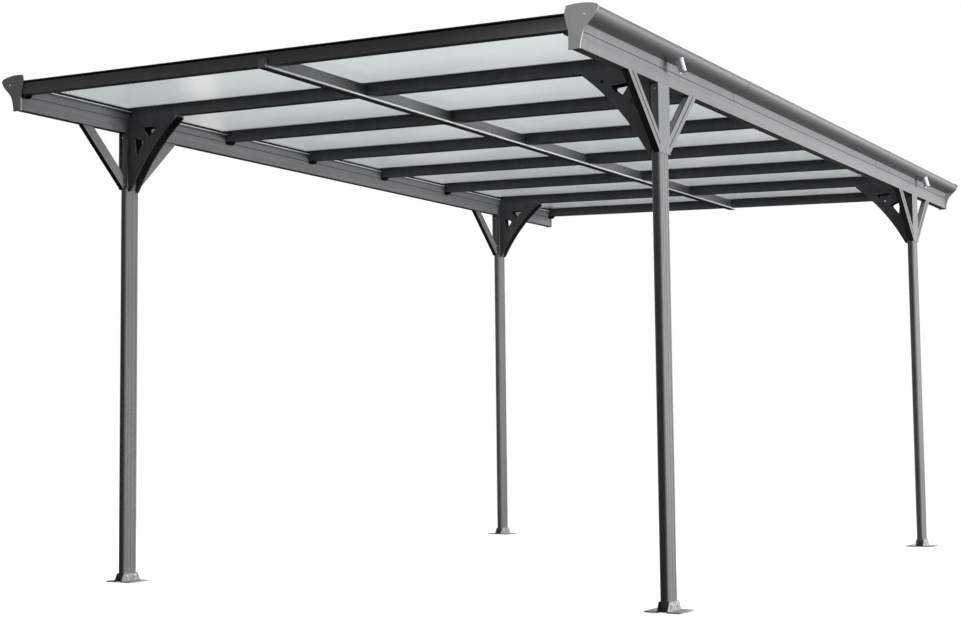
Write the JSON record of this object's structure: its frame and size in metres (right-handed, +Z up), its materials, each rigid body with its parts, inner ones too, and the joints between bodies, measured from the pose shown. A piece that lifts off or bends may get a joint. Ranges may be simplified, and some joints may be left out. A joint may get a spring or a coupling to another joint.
{
  "type": "open carport with a flat clear-sheet roof",
  "caption": "Free-standing open carport: slim box posts, gutter beams with rounded rain channels, cross rafters, knee brackets and clear roof sheets.",
  "frame": {"origin": "on the ground, in the middle of the plan, under the roof centre", "axes": "+X to the right seen from the front, towards the low gutter; +Y back along the parking bay; +Z up"},
  "size_m": [3.02, 5.0116, 2.319],
  "materials": {
    "painted_frame": "satin anthracite powder coat",
    "end_cap": "satin grey",
    "roof_sheet": "frosted translucent",
    "bracket": "fine matt moulded",
    "foot_steel": "coated steel",
    "outlet": "smooth"
  },
  "bodies": {
    "root": {"beam_plugs": "end_cap", "centre_beam": "painted_frame", "end_cap_back_left": "end_cap", "end_cap_back_right": "end_cap", "end_cap_front_left": "end_cap", "end_cap_front_right": "end_cap", "foot_back_left": "foot_steel", "foot_back_right": "foot_steel", "foot_front_left": "foot_steel", "foot_front_right": "foot_steel", "gutter_left_back": "painted_frame", "gutter_left_front": "painted_frame", "gutter_left_middle": "painted_frame", "gutter_outlets": "outlet", "gutter_right_back": "painted_frame", "gutter_right_front": "painted_frame", "gutter_right_middle": "painted_frame", "hold_down_bars": "painted_frame", "knee_bracket_back_left": "bracket", "knee_bracket_back_right": "bracket", "knee_bracket_front_left": "bracket", "knee_bracket_front_right": "bracket", "post_back_left": "painted_frame", "post_back_right": "painted_frame", "post_front_left": "painted_frame", "post_front_right": "painted_frame", "rafter_1": "painted_frame", "rafter_2": "painted_frame", "rafter_3": "painted_frame", "rafter_4": "painted_frame", "rafter_5": "painted_frame", "rafter_6": "painted_frame", "rafter_7": "painted_frame", "rafter_8": "painted_frame", "roof_sheet_1": "roof_sheet", "roof_sheet_2": "roof_sheet", "roof_sheet_3": "roof_sheet", "roof_sheet_4": "roof_sheet", "roof_sheet_5": "roof_sheet", "roof_sheet_6": "roof_sheet", "roof_sheet_7": "roof_sheet", "side_braces_back_left": "painted_frame", "side_braces_back_right": "painted_frame", "side_braces_front_left": "painted_frame", "side_braces_front_right": "painted_frame"}
  },
  "joints": []
}
